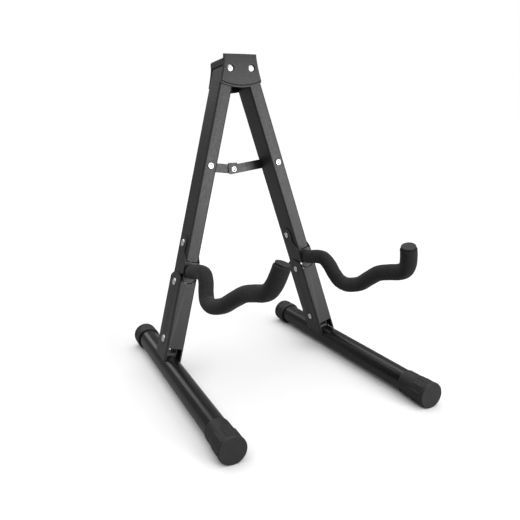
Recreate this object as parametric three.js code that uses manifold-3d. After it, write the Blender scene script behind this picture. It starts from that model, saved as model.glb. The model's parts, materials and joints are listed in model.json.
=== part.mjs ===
// Folding A-frame guitar stand, standing open on a floor.
// Millimetres, +Z up, +X to the stand's own left-to-right, the arms reach towards -Y.
// The origin is on the floor, in the middle of the four foot caps.
import * as THREE from "three";
import { mergeVertices } from "three/addons/utils/BufferGeometryUtils.js";
import Module from "manifold-3d";

const rad = THREE.MathUtils.degToRad;

// Frame: both legs lie in one plane that leans back, and each splays out from its head pin.
const LEAN = rad(6.8);
const SPLAY = rad(15.8);
const PIN_HALF_SPACING = 13.54;
const LEG_LENGTH = 359.75; // foot tube axis to head pin, along a leg

// Heights along a leg, from the foot tube's axis.
const FOOT_RIVET_AT = 30;
const KNEE_RIVET_AT = 100;
const UPPER_LEG_END_AT = 128.2;
const ARM_RIVET_AT = 148;
const SPREADER_RIVET_AT = 243.5;

// Sheet and tube sections. Across a joint the layers are upper leg, arm bracket, lower leg.
const LEG_HALF_DEPTH = 17.2;
const UPPER_HALF_WIDTH = 8.1;
const UPPER_WALL = 1.2;
const BRACKET_INSIDE = 8.3;
const BRACKET_OUTSIDE = 9.3;
const LOWER_INSIDE = 9.5;
const LOWER_OUTSIDE = 10.7;
const LOWER_WALL = LOWER_OUTSIDE - LOWER_INSIDE;
const GAP = 0.3;
const EAR_RADIUS = 13; // the upper leg's round ears about the knee rivet
const NECK_FRONT = -9.5; // the neck that joins them to the leg is behind this
const CHEEK_RADIUS = 10; // the bracket's cheeks about the arm rivet
const CHEEK_FRONT = 18.8;
const CHEEK_BOTTOM = -36.2; // from the arm rivet
const NOTCH_RADIUS = 9.3; // the scoop in the lower leg's front, under the arm
const NOTCH_ABOVE_KNEE = 10.3;
const NOTCH_FLOOR_ABOVE_KNEE = 2.2;
const WEB_BOTTOM = 22; // the lower leg's front starts above the foot tube

// Feet.
const TUBE_RADIUS = 12.5;
const TUBE_WALL = 1.2;
const CAP_RADIUS = 15;
const CAP_FLAT = 0.3; // depth of the flat that a cap stands on
const AXIS_HEIGHT = CAP_RADIUS - CAP_FLAT;
const FOOT_FRONT = 209.3;
const FOOT_REAR = 107.5;
const FRONT_CAP_LENGTH = 40;
const REAR_CAP_LENGTH = 23;
const CAP_END_WALL = 3.5;

// Arms: the centre line in the leg's mid-plane, as [forward of the leg, height along the leg].
const ARM_ROUTE = [
  [11, 115.4],
  [30, 117.3],
  [50, 119.8],
  [62, 118.6],
  [70.5, 111],
  [75.5, 101],
  [83, 92.8],
  [96, 89.6],
  [112, 91.6],
  [129, 96.4],
  [149, 106],
  [168.7, 114.7],
  [188, 119],
  [205, 121.8],
  [216, 125.8],
  [223, 133],
  [227.5, 143],
  [230.5, 153],
];
const ROD_RADIUS = 4.5;
const FOAM_RADIUS = 8.75;
const FOAM_START = 0.042; // shares of the route's length
const FOAM_END = 0.992;
const ROD_END = 0.985;
const PLUG_RADIUS = 7.6;

// Rivets and screws.
const SHANK_RADIUS = 2.4;
const HOLE_RADIUS = 2.7;
const DOME_RADIUS = 4.4;
const TAIL_RADIUS = 3.7;

// Spreader: two straps behind the legs, hinged in the middle a little below a straight line.
const STRAP_HALF_WIDTH = 5.7;
const STRAP_OVERRUN = 6.7; // how far the right strap runs on past the middle rivet
const STRAP_THICKNESS = 1.5;
const STRAP_DROP = 5.8;
const RIGHT_STRAP_FRONT = -17.6; // forward of the legs' middle
const LEFT_STRAP_FRONT = RIGHT_STRAP_FRONT - STRAP_THICKNESS - 0.2;

// Head, as forward and up distances from the pins.
const PLATE_FRONT = 21;
const PLATE_STEP = 18.5;
const PLATE_BACK = 17.5;
const REAR_PLATE_BACK = -20;
const PLATE_BOTTOM = -19.9;
const LIP_BOTTOM = -22;
const REAR_APRON_BOTTOM = -24.6;
const ROOF_TOP = 12;
const ROOF_BOTTOM = 10;
const SKIRT_BOTTOM = 4;
const ROOF_HALF_WIDTH = 22;
const SKIRT_INSIDE = 20.9;
const SCREW_RECESS_RADIUS = 4.7;
const BUSH_RADIUS = 3.8;

// Derived places.
const TUBE_DIP = Math.atan(Math.tan(LEAN) / Math.cos(SPLAY)); // tube below the leg's normal
const TOE_OUT = Math.asin(Math.sin(SPLAY) * Math.sin(TUBE_DIP));
const FOOT_X = PIN_HALF_SPACING + LEG_LENGTH * Math.sin(SPLAY);
const FOOT_Y = 0.5 * (FOOT_FRONT - FOOT_REAR) * Math.cos(TOE_OUT);
const PIN_HEIGHT = LEG_LENGTH * Math.cos(SPLAY);
const SPREADER_HALF_SPAN = FOOT_X - SPREADER_RIVET_AT * Math.sin(SPLAY);
const STRAP_LENGTH = Math.hypot(SPREADER_HALF_SPAN, STRAP_DROP);
const STRAP_ANGLE = Math.atan2(STRAP_DROP, SPREADER_HALF_SPAN);

const BLACK_STEEL = { color: 0x1c1c1d, roughness: 0.45, metalness: 0.3 };
const BLACK_PLASTIC = { color: 0x1f1f20, roughness: 0.55, metalness: 0 };
const RUBBER = { color: 0x161616, roughness: 0.7, metalness: 0 };
const FOAM = { color: 0x121212, roughness: 0.9, metalness: 0 };
const BRIGHT_STEEL = { color: 0xc8c8c8, roughness: 0.3, metalness: 1 };

const wasm = await Module();
wasm.setup();

// ---- solids -------------------------------------------------------------------------------

function solidOf(geometry) {
  const bare = geometry.clone();
  bare.deleteAttribute("normal");
  bare.deleteAttribute("uv");
  const merged = mergeVertices(bare, 1e-4);
  const triVerts = new Uint32Array(merged.index.array);
  const vertProperties = merged.attributes.position.array;
  return new wasm.Manifold(new wasm.Mesh({ numProp: 3, vertProperties, triVerts }));
}

function geometryOf(solid) {
  const mesh = solid.getMesh();
  const geometry = new THREE.BufferGeometry();
  geometry.setAttribute("position", new THREE.BufferAttribute(mesh.vertProperties, 3));
  geometry.setIndex(new THREE.BufferAttribute(mesh.triVerts, 1));
  geometry.computeVertexNormals();
  return geometry;
}

function combine(parts, cuts = []) {
  const whole = parts.map(solidOf).reduce((a, b) => a.add(b));
  return geometryOf(cuts.map(solidOf).reduce((a, b) => a.subtract(b), whole));
}

function shared(a, b) {
  return geometryOf(solidOf(a).intersect(solidOf(b)));
}

// A box from its lowest to its highest corner.
function block(low, high) {
  const size = high.map((v, i) => v - low[i]);
  const box = new THREE.BoxGeometry(...size);
  return box.translate(...low.map((v, i) => v + size[i] / 2));
}

function sheetOf(shape, depth) {
  return new THREE.ExtrudeGeometry(shape, { depth, bevelEnabled: false, curveSegments: 7 });
}

// A sheet lying across the leg: its outline is in (forward, up), from x0 to x1.
function sideSheet(shape, x0, x1) {
  const turn = new THREE.Matrix4().makeBasis(
    new THREE.Vector3(0, -1, 0),
    new THREE.Vector3(0, 0, 1),
    new THREE.Vector3(-1, 0, 0),
  );
  return sheetOf(shape, x1 - x0).applyMatrix4(turn).translate(x1, 0, 0);
}

// A sheet facing forward: its outline is in (x, up), from back to front measured forward.
function frontSheet(shape, back, front) {
  const turn = new THREE.Matrix4().makeBasis(
    new THREE.Vector3(1, 0, 0),
    new THREE.Vector3(0, 0, 1),
    new THREE.Vector3(0, -1, 0),
  );
  return sheetOf(shape, front - back).applyMatrix4(turn).translate(0, -back, 0);
}

// A solid of revolution from [radius, distance] pairs, its axis along X or along Y.
function turned(profile, axis, sides = 16) {
  const points = profile.map(([r, along]) => new THREE.Vector2(r, along));
  const lathe = new THREE.LatheGeometry(points, sides);
  return axis === "x" ? lathe.rotateZ(-Math.PI / 2) : lathe;
}

function rod(radius, from, to, axis, sides = 16) {
  return turned([[0, from], [radius, from], [radius, to], [0, to]], axis, sides);
}

function circleShape(x, y, radius) {
  return new THREE.Shape().absarc(x, y, radius, 0, 2 * Math.PI);
}

function polygonShape(points) {
  return new THREE.Shape(points.map(([x, y]) => new THREE.Vector2(x, y)));
}

// ---- pieces of one leg, drawn in the leg's own frame (Z up the leg, Y back, X across) --------

function upperLeg() {
  const top = LEG_LENGTH + UPPER_HALF_WIDTH;
  const bottom = KNEE_RIVET_AT - EAR_RADIUS;
  const outer = block(
    [-UPPER_HALF_WIDTH, -LEG_HALF_DEPTH, bottom],
    [UPPER_HALF_WIDTH, LEG_HALF_DEPTH, top],
  );
  const inX = UPPER_HALF_WIDTH - UPPER_WALL;
  const inY = LEG_HALF_DEPTH - UPPER_WALL;
  const bore = block([-inX, -inY, bottom - 1], [inX, inY, top + 1]);
  // The top is rounded about the head pin, seen from the front.
  const front = new THREE.Shape();
  front.moveTo(-UPPER_HALF_WIDTH - 1, bottom - 1);
  front.lineTo(UPPER_HALF_WIDTH + 1, bottom - 1);
  front.lineTo(UPPER_HALF_WIDTH + 1, LEG_LENGTH);
  front.lineTo(UPPER_HALF_WIDTH, LEG_LENGTH);
  front.absarc(0, LEG_LENGTH, UPPER_HALF_WIDTH, 0, Math.PI);
  front.lineTo(-UPPER_HALF_WIDTH - 1, LEG_LENGTH);
  const rounded = frontSheet(front, -LEG_HALF_DEPTH - 1, LEG_HALF_DEPTH + 1);
  // Seen from the side, the bottom is a narrow neck at the back with a round ear at the knee.
  const kept = combine([
    block([-20, -30, UPPER_LEG_END_AT], [20, 30, top + 1]),
    block([-20, -NECK_FRONT, KNEE_RIVET_AT], [20, 30, UPPER_LEG_END_AT + 1]),
    sideSheet(circleShape(0, KNEE_RIVET_AT, EAR_RADIUS), -20, 20),
  ]);
  const tube = shared(shared(combine([outer], [bore]), rounded), kept);
  return combine([tube], [
    rod(HOLE_RADIUS, -20, 20, "x").translate(0, 0, KNEE_RIVET_AT),
    rod(HOLE_RADIUS, -20, 20, "x").translate(0, 0, ARM_RIVET_AT),
    rod(HOLE_RADIUS, -30, 30, "y").translate(0, 0, SPREADER_RIVET_AT),
    rod(BUSH_RADIUS + GAP, -30, 30, "y").translate(0, 0, LEG_LENGTH),
  ]);
}

function armBracket() {
  const wall = new THREE.Shape();
  wall.moveTo(-CHEEK_RADIUS, CHEEK_BOTTOM);
  wall.lineTo(CHEEK_FRONT - 2.6, CHEEK_BOTTOM);
  wall.lineTo(CHEEK_FRONT, CHEEK_BOTTOM + 2.6);
  wall.lineTo(CHEEK_FRONT, -2 * CHEEK_RADIUS);
  wall.lineTo(CHEEK_RADIUS, -CHEEK_RADIUS);
  wall.lineTo(CHEEK_RADIUS, 0);
  wall.absarc(0, 0, CHEEK_RADIUS, 0, Math.PI);
  // The web that joins the cheeks in front, just under the end of the upper leg.
  const web = polygonShape([
    [11, -24.4],
    [11.4, -25.6],
    [CHEEK_FRONT, -28.4],
    [CHEEK_FRONT, -20.6],
    [CHEEK_FRONT - 1.2, -20.6],
    [CHEEK_FRONT - 1.2, -26.8],
  ]);
  // The tongue that hangs from it behind the arm.
  const tongue = new THREE.Shape();
  const tongueCentre = -38;
  tongue.moveTo(8, -27);
  tongue.lineTo(-8, -27);
  tongue.lineTo(-8, tongueCentre);
  tongue.absarc(0, tongueCentre, 8, Math.PI, 2 * Math.PI);
  const parts = [
    sideSheet(wall, BRACKET_INSIDE, BRACKET_OUTSIDE),
    sideSheet(wall, -BRACKET_OUTSIDE, -BRACKET_INSIDE),
    sideSheet(web, -BRACKET_OUTSIDE + 0.1, BRACKET_OUTSIDE - 0.1),
    frontSheet(tongue, 16.2, 17.2),
  ];
  const slope = Math.atan2(ARM_ROUTE[1][1] - ARM_ROUTE[0][1], ARM_ROUTE[1][0] - ARM_ROUTE[0][0]);
  const rodHole = rod(ROD_RADIUS + GAP, -12, 12, "y");
  rodHole.rotateX(-slope).translate(0, -16.7, ARM_ROUTE[0][1] + 0.6 - ARM_RIVET_AT);
  const bracket = combine(parts, [rod(HOLE_RADIUS, -20, 20, "x"), rodHole]);
  return bracket.translate(0, 0, ARM_RIVET_AT);
}

function armCurve() {
  return new THREE.CatmullRomCurve3(ARM_ROUTE.map(([forward, up]) => new THREE.Vector3(0, -forward, up)));
}

function along(curve, from, to, count) {
  const points = [];
  for (let i = 0; i <= count; i++) {
    points.push(curve.getPointAt(from + ((to - from) * i) / count));
  }
  return new THREE.CatmullRomCurve3(points);
}

function armRod() {
  const extrudePath = along(armCurve(), 0, ROD_END, 34);
  return new THREE.ExtrudeGeometry(ngon(ROD_RADIUS, 6), { extrudePath, steps: 30, bevelEnabled: false });
}

function armFoam() {
  const extrudePath = along(armCurve(), FOAM_START, FOAM_END, 34);
  const ring = ngon(FOAM_RADIUS, 12);
  ring.holes.push(ngon(ROD_RADIUS + 5 * GAP, 6));
  return new THREE.ExtrudeGeometry(ring, { extrudePath, steps: 32, bevelEnabled: false });
}

function ngon(radius, sides) {
  const points = [];
  for (let i = 0; i < sides; i++) {
    const angle = (2 * Math.PI * (i + 0.5)) / sides;
    points.push([radius * Math.cos(angle), radius * Math.sin(angle)]);
  }
  return polygonShape(points);
}

// A thin disc that closes the raised end of the sleeve.
function armEndPlug() {
  const curve = armCurve();
  const end = curve.getPointAt(1);
  const way = curve.getTangentAt(1);
  const disc = rod(PLUG_RADIUS, -0.9, 0.6, "y", 20);
  disc.applyQuaternion(new THREE.Quaternion().setFromUnitVectors(new THREE.Vector3(0, 1, 0), way));
  return disc.translate(end.x, end.y, end.z);
}

function lowerLeg() {
  const depth = LEG_HALF_DEPTH + 0.1;
  const ear = KNEE_RIVET_AT + 6;
  const rise = 6.8;
  const archRadius = (depth * depth + rise * rise) / (2 * rise);
  const archAngle = Math.asin(depth / archRadius);
  const wall = new THREE.Shape();
  wall.moveTo(-depth, 0);
  wall.lineTo(depth, 0);
  wall.lineTo(depth, ear);
  wall.absarc(0, ear + rise - archRadius, archRadius, Math.PI / 2 - archAngle, Math.PI / 2 + archAngle);
  const web = polygonShape([
    [-LOWER_OUTSIDE, WEB_BOTTOM],
    [LOWER_OUTSIDE, WEB_BOTTOM],
    [LOWER_OUTSIDE, ear],
    [-LOWER_OUTSIDE, ear],
  ]);
  const scoop = circleShape(0, KNEE_RIVET_AT + NOTCH_ABOVE_KNEE, NOTCH_RADIUS);
  const scoopFloor = KNEE_RIVET_AT + NOTCH_FLOOR_ABOVE_KNEE;
  return combine(
    [
      sideSheet(wall, LOWER_INSIDE, LOWER_OUTSIDE),
      sideSheet(wall, -LOWER_OUTSIDE, -LOWER_INSIDE),
      frontSheet(web, depth - LOWER_WALL, depth),
    ],
    [
      frontSheet(scoop, depth - 3, depth + 1),
      block([-LOWER_INSIDE, -depth - 1, scoopFloor], [LOWER_INSIDE, -depth + 2, ear + 1]),
      rod(HOLE_RADIUS, -20, 20, "x").translate(0, 0, KNEE_RIVET_AT),
      rod(HOLE_RADIUS, -20, 20, "x").translate(0, 0, FOOT_RIVET_AT),
      rod(TUBE_RADIUS + GAP, -60, 60, "y", 32).rotateX(TUBE_DIP),
    ],
  );
}

// The clip that ties the tube to the lower leg, inside the channel.
function footSaddle() {
  const outside = 6;
  const inside = outside - 1.6;
  const cheek = 9;
  return combine(
    [block([-outside, -cheek, 6], [outside, cheek, FOOT_RIVET_AT + 8])],
    [
      block([-inside, -cheek - 1, 15], [inside, cheek + 1, FOOT_RIVET_AT + 9]),
      rod(HOLE_RADIUS, -20, 20, "x").translate(0, 0, FOOT_RIVET_AT),
      rod(TUBE_RADIUS + GAP, -60, 60, "y", 32).rotateX(TUBE_DIP),
    ],
  );
}

// A rivet through two walls: domed head at +X, rolled tubular tail at -X.
function crossRivet(halfGrip) {
  const seat = halfGrip + 0.15;
  return turned(
    [
      [0, -seat + 0.6],
      [1.3, -seat + 0.6],
      [1.3, -seat - 1.1],
      [TAIL_RADIUS - 0.7, -seat - 1.1],
      [TAIL_RADIUS, -seat - 0.5],
      [TAIL_RADIUS, -seat],
      [SHANK_RADIUS, -seat],
      [SHANK_RADIUS, seat],
      [DOME_RADIUS, seat],
      [DOME_RADIUS * 0.93, seat + 0.8],
      [DOME_RADIUS * 0.65, seat + 1.5],
      [DOME_RADIUS * 0.3, seat + 1.8],
      [0, seat + 1.85],
    ],
    "x",
    14,
  );
}

// The long rivet that holds a strap behind the leg: rolled end in front, low head at the back.
function spreaderRivet(strapFront) {
  const front = LEG_HALF_DEPTH + 0.15;
  const back = strapFront - STRAP_THICKNESS - 0.15;
  const rivet = turned(
    [
      [0, back - 1.5],
      [2.4, back - 1.4],
      [TAIL_RADIUS, back - 0.8],
      [TAIL_RADIUS, back],
      [SHANK_RADIUS, back],
      [SHANK_RADIUS, front],
      [TAIL_RADIUS, front],
      [TAIL_RADIUS, front + 0.5],
      [TAIL_RADIUS - 0.7, front + 1.1],
      [1.3, front + 1.1],
      [1.3, front - 0.6],
      [0, front - 0.6],
    ],
    "y",
    14,
  );
  return rivet.rotateX(Math.PI).translate(0, 0, SPREADER_RIVET_AT);
}

// The washer that sets the left strap one thickness further back than the right one.
function spreaderSpacer() {
  const washer = circleShape(0, SPREADER_RIVET_AT, 5);
  washer.holes.push(new THREE.Path().absarc(0, SPREADER_RIVET_AT, HOLE_RADIUS, 0, 2 * Math.PI, true));
  return frontSheet(washer, LEFT_STRAP_FRONT + 0.2, -LEG_HALF_DEPTH - 0.2);
}

// ---- feet, drawn with the tube along Y and the front at -Y -----------------------------------

function footTube() {
  const front = FOOT_FRONT - CAP_END_WALL - GAP;
  const rear = FOOT_REAR - CAP_END_WALL - GAP;
  const inside = TUBE_RADIUS - TUBE_WALL;
  const section = [[TUBE_RADIUS, -front], [TUBE_RADIUS, rear], [inside, rear], [inside, -front]];
  return turned([...section, section[0]], "y", 32);
}

// A cap over the tube's end: [radius, distance from the end face] outside, then a blind bore.
function footCap(outside, length) {
  const bore = TUBE_RADIUS + 0.25;
  const profile = [[0, 0], ...outside, [bore, length], [bore, CAP_END_WALL], [0, CAP_END_WALL]];
  return turned(profile, "y", 28);
}

// The flat underneath is what the stand stands on.
function standing(cap) {
  const room = block([-50, -400, -AXIS_HEIGHT], [50, 400, 50]);
  return shared(cap, room);
}

function frontFootCap() {
  const outside = [[13, 0], [CAP_RADIUS, 3.2], [CAP_RADIUS, 19], [13.9, 28], [13.7, FRONT_CAP_LENGTH]];
  return standing(footCap(outside, FRONT_CAP_LENGTH).translate(0, -FOOT_FRONT, 0));
}

function rearFootCap() {
  const outside = [[13.4, 0], [CAP_RADIUS, 2], [CAP_RADIUS, REAR_CAP_LENGTH - 1], [14.2, REAR_CAP_LENGTH]];
  const cap = footCap(outside, REAR_CAP_LENGTH).rotateX(Math.PI);
  return standing(cap.translate(0, FOOT_REAR, 0));
}

// ---- spreader straps, drawn from their leg rivet towards the middle, in (x, up) --------------

function strapShape(side, reach, squareEnd) {
  const inward = -side;
  const turn = new THREE.Vector2(Math.cos(STRAP_ANGLE) * inward, -Math.sin(STRAP_ANGLE));
  const start = Math.atan2(turn.y, turn.x);
  const far = turn.clone().multiplyScalar(reach);
  const shape = new THREE.Shape();
  if (squareEnd) {
    const across = new THREE.Vector2(-turn.y, turn.x).multiplyScalar(STRAP_HALF_WIDTH);
    shape.moveTo(far.x - across.x, far.y - across.y);
    shape.lineTo(far.x + across.x, far.y + across.y);
  } else {
    shape.absarc(far.x, far.y, STRAP_HALF_WIDTH, start - Math.PI / 2, start + Math.PI / 2);
  }
  shape.absarc(0, 0, STRAP_HALF_WIDTH, start + Math.PI / 2, start + 1.5 * Math.PI);
  for (const [x, y] of [[0, 0], [turn.x * STRAP_LENGTH, turn.y * STRAP_LENGTH]]) {
    shape.holes.push(new THREE.Path().absarc(x, y, HOLE_RADIUS, 0, 2 * Math.PI, true));
  }
  return shape;
}

function leftStrap() {
  const shape = strapShape(-1, STRAP_LENGTH, false);
  return frontSheet(shape, LEFT_STRAP_FRONT - STRAP_THICKNESS, LEFT_STRAP_FRONT);
}

// The right strap runs on past the middle rivet, and its bent tab stops on the left strap's top.
function rightStrap() {
  const shape = strapShape(1, STRAP_LENGTH + STRAP_OVERRUN, true);
  const strap = frontSheet(shape, RIGHT_STRAP_FRONT - STRAP_THICKNESS, RIGHT_STRAP_FRONT);
  const middle = [-SPREADER_HALF_SPAN, -STRAP_DROP];
  const left = middle[0] - STRAP_OVERRUN + 0.3;
  const right = middle[0] + 5;
  const tabEnd = middle[0] - 3.4; // short of the rivet, to clear the left strap in folding
  const low = middle[1] + STRAP_HALF_WIDTH + STRAP_OVERRUN * Math.tan(STRAP_ANGLE) + 0.6;
  const high = low + 1;
  const front = -RIGHT_STRAP_FRONT;
  const tab = block([left, front, low], [tabEnd, -LEFT_STRAP_FRONT + STRAP_THICKNESS, high]);
  const root = block([left, front, middle[1]], [right, front + STRAP_THICKNESS, high]);
  const hole = rod(HOLE_RADIUS, -40, 40, "y").translate(middle[0], 0, middle[1]);
  return combine([strap, tab, root], [hole]);
}

// The middle rivet in two halves, because the straps part there while the frame folds.
function centreRivetFront() {
  const seat = RIGHT_STRAP_FRONT + 0.15;
  const half = turned(
    [
      [0, seat - STRAP_THICKNESS],
      [SHANK_RADIUS, seat - STRAP_THICKNESS],
      [SHANK_RADIUS, seat],
      [TAIL_RADIUS, seat],
      [TAIL_RADIUS, seat + 0.6],
      [TAIL_RADIUS - 0.7, seat + 1.2],
      [0, seat + 1.2],
    ],
    "y",
    14,
  );
  return half.rotateX(Math.PI);
}

function centreRivetBack() {
  const seat = LEFT_STRAP_FRONT - STRAP_THICKNESS - 0.15;
  const half = turned(
    [
      [0, seat - 1.4],
      [2.4, seat - 1.3],
      [TAIL_RADIUS, seat - 0.8],
      [TAIL_RADIUS, seat],
      [SHANK_RADIUS, seat],
      [SHANK_RADIUS, seat + STRAP_THICKNESS],
      [0, seat + STRAP_THICKNESS],
    ],
    "y",
    14,
  );
  return half.rotateX(Math.PI);
}

// ---- head, drawn about the middle between the pins, in (x, up) -------------------------------

// Straight top, hollow sides that flare out, and a bowed bottom edge that hangs to `bottom`.
function apronShape(bottom) {
  const shape = new THREE.Shape();
  const corner = bottom + 5.6;
  shape.moveTo(-21.2, 16.2);
  shape.quadraticCurveTo(-21.4, 2, -26.6, corner);
  shape.quadraticCurveTo(0, 2 * bottom - corner, 26.6, corner);
  shape.quadraticCurveTo(21.4, 2, 21.2, 16.2);
  return shape;
}

function pinHoles(radius, back, front) {
  const bores = [];
  for (const side of [-1, 1]) {
    bores.push(frontSheet(circleShape(side * PIN_HALF_SPACING, 0, radius), back, front));
  }
  return bores;
}

function headFrontCover() {
  return combine(
    [
      frontSheet(apronShape(PLATE_BOTTOM), PLATE_STEP - 0.1, PLATE_FRONT),
      frontSheet(apronShape(LIP_BOTTOM), PLATE_BACK, PLATE_STEP),
    ],
    [...pinHoles(SCREW_RECESS_RADIUS, PLATE_STEP, PLATE_FRONT + 1), ...pinHoles(2.8, 0, PLATE_FRONT + 1)],
  );
}

function headRearCover() {
  const outside = block(
    [-ROOF_HALF_WIDTH, -PLATE_BACK + GAP, SKIRT_BOTTOM],
    [ROOF_HALF_WIDTH, -REAR_PLATE_BACK, ROOF_TOP],
  );
  const inside = block([-SKIRT_INSIDE, -30, SKIRT_BOTTOM - 1], [SKIRT_INSIDE, 17.5, ROOF_BOTTOM]);
  const apron = shared(
    frontSheet(apronShape(REAR_APRON_BOTTOM), REAR_PLATE_BACK, -17.5),
    block([-40, 0, -40], [40, 40, ROOF_TOP]),
  );
  return combine([combine([outside], [inside]), apron], pinHoles(2.8, REAR_PLATE_BACK - 1, -10));
}

function pivotScrew() {
  const seat = PLATE_STEP + 0.15;
  const screw = turned(
    [
      [0, REAR_PLATE_BACK - 5.2],
      [2.5, REAR_PLATE_BACK - 5.2],
      [2.5, seat],
      [4.1, seat],
      [3.6, seat + 1],
      [1.2, seat + 1.3],
      [0, seat + 1.3],
    ],
    "y",
    14,
  );
  return screw.rotateX(Math.PI);
}

function pivotNut() {
  const hexagon = ngon(4.6, 6);
  hexagon.holes.push(new THREE.Path().absarc(0, 0, 2.75, 0, 2 * Math.PI, true));
  return frontSheet(hexagon, REAR_PLATE_BACK - 4.2, REAR_PLATE_BACK - 0.2);
}

function pivotBush() {
  const reach = LEG_HALF_DEPTH;
  const bush = [[2.8, -reach], [BUSH_RADIUS, -reach], [BUSH_RADIUS, reach], [2.8, reach], [2.8, -reach]];
  return turned(bush, "y", 16);
}

// ---- assembly ---------------------------------------------------------------------------------

const stand = new THREE.Group();

function place(group, name, geometry, look) {
  const mesh = new THREE.Mesh(geometry, new THREE.MeshStandardMaterial(look));
  mesh.name = name;
  group.add(mesh);
  return mesh;
}

function addLeg(side, name) {
  const leg = new THREE.Group();
  leg.position.set(side * FOOT_X, FOOT_Y, AXIS_HEIGHT);
  leg.rotation.set(-LEAN, -side * SPLAY, 0);
  const headOut = side > 0 ? 0 : Math.PI; // domed rivet heads are on the outside of both legs
  place(leg, name + "_upper_leg", upperLeg(), BLACK_STEEL);
  place(leg, name + "_arm_bracket", armBracket(), BLACK_STEEL);
  place(leg, name + "_arm_rod", armRod(), BLACK_STEEL);
  place(leg, name + "_arm_foam", armFoam(), FOAM);
  place(leg, name + "_arm_end_plug", armEndPlug(), BLACK_PLASTIC);
  place(leg, name + "_lower_leg", lowerLeg(), BLACK_STEEL);
  place(leg, name + "_foot_saddle", footSaddle(), BLACK_STEEL);
  for (const [rivet, at, grip] of [
    ["_arm_rivet", ARM_RIVET_AT, BRACKET_OUTSIDE],
    ["_knee_rivet", KNEE_RIVET_AT, LOWER_OUTSIDE],
    ["_foot_rivet", FOOT_RIVET_AT, LOWER_OUTSIDE],
  ]) {
    const mesh = place(leg, name + rivet, crossRivet(grip), BRIGHT_STEEL);
    mesh.position.z = at;
    mesh.rotation.z = headOut;
  }
  const strapFront = side > 0 ? RIGHT_STRAP_FRONT : LEFT_STRAP_FRONT;
  place(leg, name + "_spreader_rivet", spreaderRivet(strapFront), BRIGHT_STEEL);
  if (side < 0) {
    place(leg, name + "_spreader_spacer", spreaderSpacer(), BRIGHT_STEEL);
  }
  stand.add(leg);
}

function addFoot(side, name) {
  const foot = new THREE.Group();
  foot.position.set(side * FOOT_X, FOOT_Y, AXIS_HEIGHT);
  foot.rotation.z = side * TOE_OUT;
  place(foot, name + "_foot_tube", footTube(), BLACK_STEEL);
  place(foot, name + "_front_foot_cap", frontFootCap(), RUBBER);
  place(foot, name + "_rear_foot_cap", rearFootCap(), RUBBER);
  stand.add(foot);
}

// Everything that leans back but doesn't splay: the head and the spreader.
function addHead() {
  const head = new THREE.Group();
  head.position.set(0, FOOT_Y + PIN_HEIGHT * Math.sin(LEAN), AXIS_HEIGHT + PIN_HEIGHT * Math.cos(LEAN));
  head.rotation.x = -LEAN;
  place(head, "head_front_cover", headFrontCover(), BLACK_PLASTIC);
  place(head, "head_rear_cover", headRearCover(), BLACK_PLASTIC);
  for (const [side, name] of [[-1, "left"], [1, "right"]]) {
    place(head, name + "_pivot_screw", pivotScrew(), BRIGHT_STEEL).position.x = side * PIN_HALF_SPACING;
    place(head, name + "_pivot_nut", pivotNut(), BRIGHT_STEEL).position.x = side * PIN_HALF_SPACING;
    place(head, name + "_pivot_bush", pivotBush(), BRIGHT_STEEL).position.x = side * PIN_HALF_SPACING;
  }
  const rivetDown = (LEG_LENGTH - SPREADER_RIVET_AT) * Math.cos(SPLAY);
  const straps = new THREE.Group();
  straps.position.z = -rivetDown;
  place(straps, "spreader_left_strap", leftStrap(), BLACK_STEEL).position.x = -SPREADER_HALF_SPAN;
  place(straps, "spreader_right_strap", rightStrap(), BLACK_STEEL).position.x = SPREADER_HALF_SPAN;
  place(straps, "centre_rivet_front", centreRivetFront(), BRIGHT_STEEL).position.z = -STRAP_DROP;
  place(straps, "centre_rivet_back", centreRivetBack(), BRIGHT_STEEL).position.z = -STRAP_DROP;
  head.add(straps);
  stand.add(head);
}

for (const [side, name] of [[-1, "left"], [1, "right"]]) {
  addLeg(side, name);
  addFoot(side, name);
}
addHead();

// The arms reach a little past the feet, so the whole is moved to put its middle on the origin.
const middle = new THREE.Box3().setFromObject(stand, true).getCenter(new THREE.Vector3());
stand.position.y = -middle.y;

export default stand;
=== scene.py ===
"""Folding A-frame guitar stand, empty: the fine surface of every piece, its materials, and a plain studio.

Shapes are drawn in millimetres in a piece's own frame, as in the CAD. "Forward" is the way the arms reach.
"""
import json
import math

import bmesh
import bpy
from mathutils import Matrix, Vector, noise


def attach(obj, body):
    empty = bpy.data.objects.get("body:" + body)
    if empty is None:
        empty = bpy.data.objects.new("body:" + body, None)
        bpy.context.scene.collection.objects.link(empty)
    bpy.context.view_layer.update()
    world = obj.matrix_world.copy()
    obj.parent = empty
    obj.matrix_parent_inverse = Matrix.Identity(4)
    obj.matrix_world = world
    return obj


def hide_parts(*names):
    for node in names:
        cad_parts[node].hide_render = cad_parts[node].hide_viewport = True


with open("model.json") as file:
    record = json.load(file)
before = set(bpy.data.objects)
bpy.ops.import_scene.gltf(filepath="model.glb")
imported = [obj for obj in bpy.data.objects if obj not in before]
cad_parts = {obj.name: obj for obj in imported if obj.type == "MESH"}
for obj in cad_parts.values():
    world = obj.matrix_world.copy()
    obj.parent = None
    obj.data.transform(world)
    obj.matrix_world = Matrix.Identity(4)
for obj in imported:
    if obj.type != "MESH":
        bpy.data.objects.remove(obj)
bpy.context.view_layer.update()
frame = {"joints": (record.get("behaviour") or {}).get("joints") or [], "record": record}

MM = 0.001

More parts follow.
